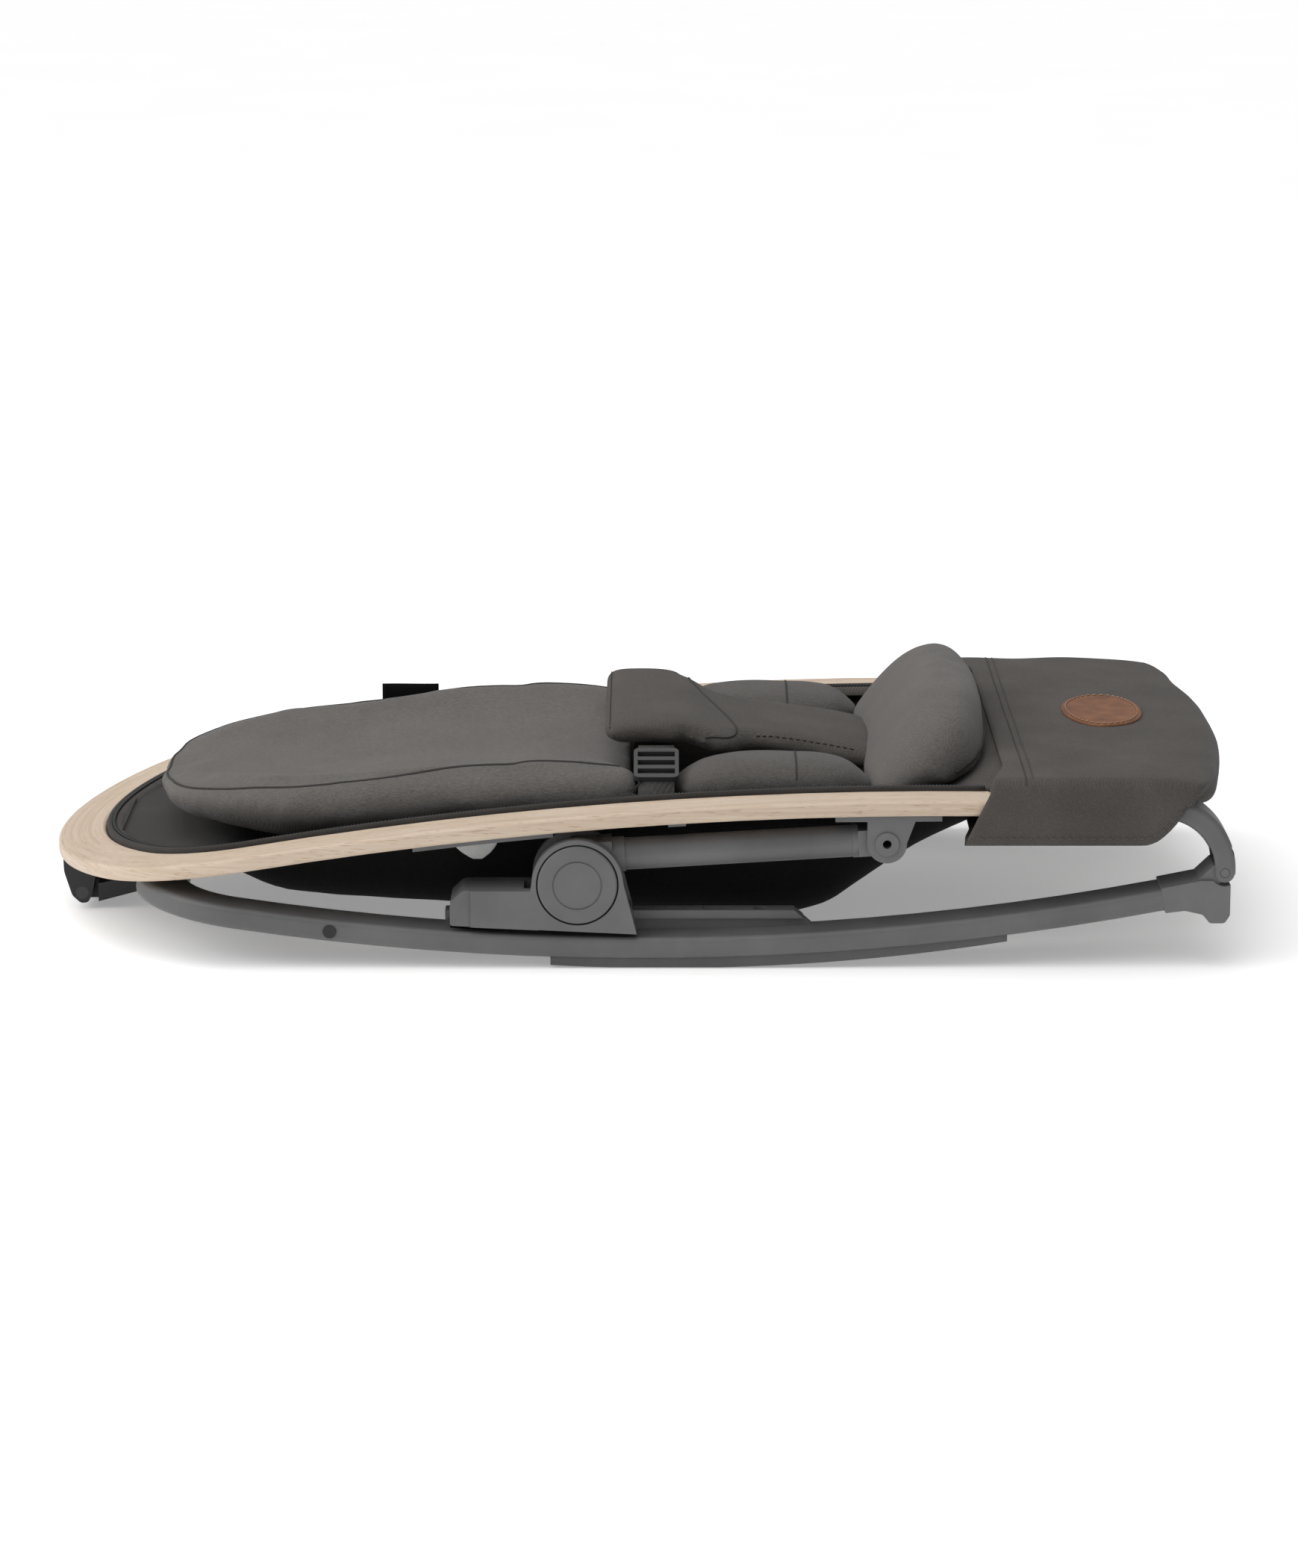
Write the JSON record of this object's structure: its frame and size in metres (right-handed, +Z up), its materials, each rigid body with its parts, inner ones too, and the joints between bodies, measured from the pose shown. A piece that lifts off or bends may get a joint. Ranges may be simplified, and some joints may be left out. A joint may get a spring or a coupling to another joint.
{
  "type": "baby_bouncer_seat",
  "caption": "Folded baby bouncer seat: rocking tube base, wooden hoop with padded fabric seat, side arms on sliding shoes that raise the seat about foot hinges",
  "frame": {"origin": "centre of the footprint, on the floor the rocker pads rest on", "axes": "+X towards the foot end, +Y to the baby's left, +Z up"},
  "size_m": [0.8249, 0.421, 0.173],
  "materials": {
    "tube_grey": "mid grey powder coat, fine satin grain",
    "plastic_grey": "mid grey moulded plastic, matte with a fine grain",
    "steel": "zinc plated steel",
    "rubber_grey": "dark grey soft rubber, matte",
    "beech": "pale bent beech, clear satin lacquer, grain along the bend",
    "plastic_black": "near black moulded plastic, matte",
    "sling_black": "black woven cloth with bound edges",
    "melange_grey": "grey melange knit over soft filling, piped seams",
    "twill_taupe": "dark taupe grey twill with top stitching",
    "webbing_grey": "dark grey woven webbing",
    "leather_tan": "tan leather patch, stitched round its edge, bare",
    "tab_white": "blank white satin tab"
  },
  "bodies": {
    "base": {"base_tube": "tube_grey", "connector_left": "plastic_grey", "connector_right": "plastic_grey", "foot_pivot_pins": "steel", "rail_left": "plastic_grey", "rail_right": "plastic_grey", "rocker_pad_left": "rubber_grey", "rocker_pad_right": "rubber_grey", "stand_pins": "steel", "stand_bumpers": "rubber_grey"},
    "seat": {"wood_hoop": "beech", "elbow_left": "tube_grey", "elbow_right": "tube_grey", "foot_bow": "steel", "bracket_left": "plastic_grey", "bracket_right": "plastic_grey", "bracket_rivets": "steel", "rail_plates": "plastic_grey", "latch_lug": "plastic_black", "latch_pin": "steel", "latch_spring": "steel", "sling": "sling_black", "rim_trim": "sling_black", "back_cushion": "melange_grey", "bolster_left": "melange_grey", "bolster_right": "melange_grey", "leg_cushion": "melange_grey", "crotch_pad": "twill_taupe", "strap_left": "webbing_grey", "strap_right": "webbing_grey", "buckle_left": "plastic_black", "buckle_right": "plastic_black", "foot_cover": "twill_taupe", "leather_patch": "leather_tan", "loop_tab": "sling_black", "care_tab": "tab_white"},
    "latch": {"latch_hook": "plastic_black"},
    "shoe_left": {"shoe_left": "plastic_grey", "lock_pin_left": "steel", "button_spring_left": "steel"},
    "button_left": {"button_left": "plastic_grey"},
    "arm_left": {"arm_tube_left": "tube_grey", "arm_knuckle_left": "plastic_grey", "arm_eye_left": "plastic_grey"},
    "stand_left": {"stand_left": "plastic_grey"},
    "shoe_right": {"shoe_right": "plastic_grey", "lock_pin_right": "steel", "button_spring_right": "steel"},
    "button_right": {"button_right": "plastic_grey"},
    "arm_right": {"arm_tube_right": "tube_grey", "arm_knuckle_right": "plastic_grey", "arm_eye_right": "plastic_grey"},
    "stand_right": {"stand_right": "plastic_grey"}
  },
  "joints": [
    {"name": "seat_recline", "type": "hinge", "parent": "base", "child": "seat", "pos_m": [0.3985, 0, 0.0665], "axis": [0, 1, 0], "range_deg": [0, 30.83]},
    {"name": "shoe_slide_left", "type": "slide", "parent": "base", "child": "shoe_left", "axis": [1, 0, 0], "range_m": [0, 0.0951]},
    {"name": "arm_swing_left", "type": "hinge", "parent": "seat", "child": "arm_left", "pos_m": [0.17, 0.1871, 0.0857], "axis": [0, 1, 0], "range_deg": [-65.55, 0]},
    {"name": "button_press_left", "type": "slide", "parent": "shoe_left", "child": "button_left", "axis": [0, -1, 0], "range_m": [0, 0.003], "stiffness_N_per_m": 900},
    {"name": "stand_flip_left", "type": "hinge", "parent": "base", "child": "stand_left", "pos_m": [-0.2076, 0.19, 0.0257], "axis": [0, 1, 0], "range_deg": [0, 150]},
    {"name": "shoe_slide_right", "type": "slide", "parent": "base", "child": "shoe_right", "axis": [1, 0, 0], "range_m": [0, 0.0951]},
    {"name": "arm_swing_right", "type": "hinge", "parent": "seat", "child": "arm_right", "pos_m": [0.17, -0.1871, 0.0857], "axis": [0, 1, 0], "range_deg": [-65.55, 0]},
    {"name": "button_press_right", "type": "slide", "parent": "shoe_right", "child": "button_right", "axis": [0, 1, 0], "range_m": [0, 0.003], "stiffness_N_per_m": 900},
    {"name": "stand_flip_right", "type": "hinge", "parent": "base", "child": "stand_right", "pos_m": [-0.2076, -0.19, 0.0257], "axis": [0, 1, 0], "range_deg": [0, 150]},
    {"name": "latch_release", "type": "hinge", "parent": "seat", "child": "latch", "pos_m": [-0.394, 0, 0.0115], "axis": [0, 1, 0], "range_deg": [0, 13], "stiffness_Nm_per_rad": 0.6}
  ],
  "couplings": [
    {"joint": "shoe_slide_left", "follows": "seat_recline", "m_per_rad": 0.17654},
    {"joint": "arm_swing_left", "follows": "seat_recline", "ratio": -2.1255},
    {"joint": "shoe_slide_right", "follows": "seat_recline", "m_per_rad": 0.17654},
    {"joint": "arm_swing_right", "follows": "seat_recline", "ratio": -2.1255}
  ]
}
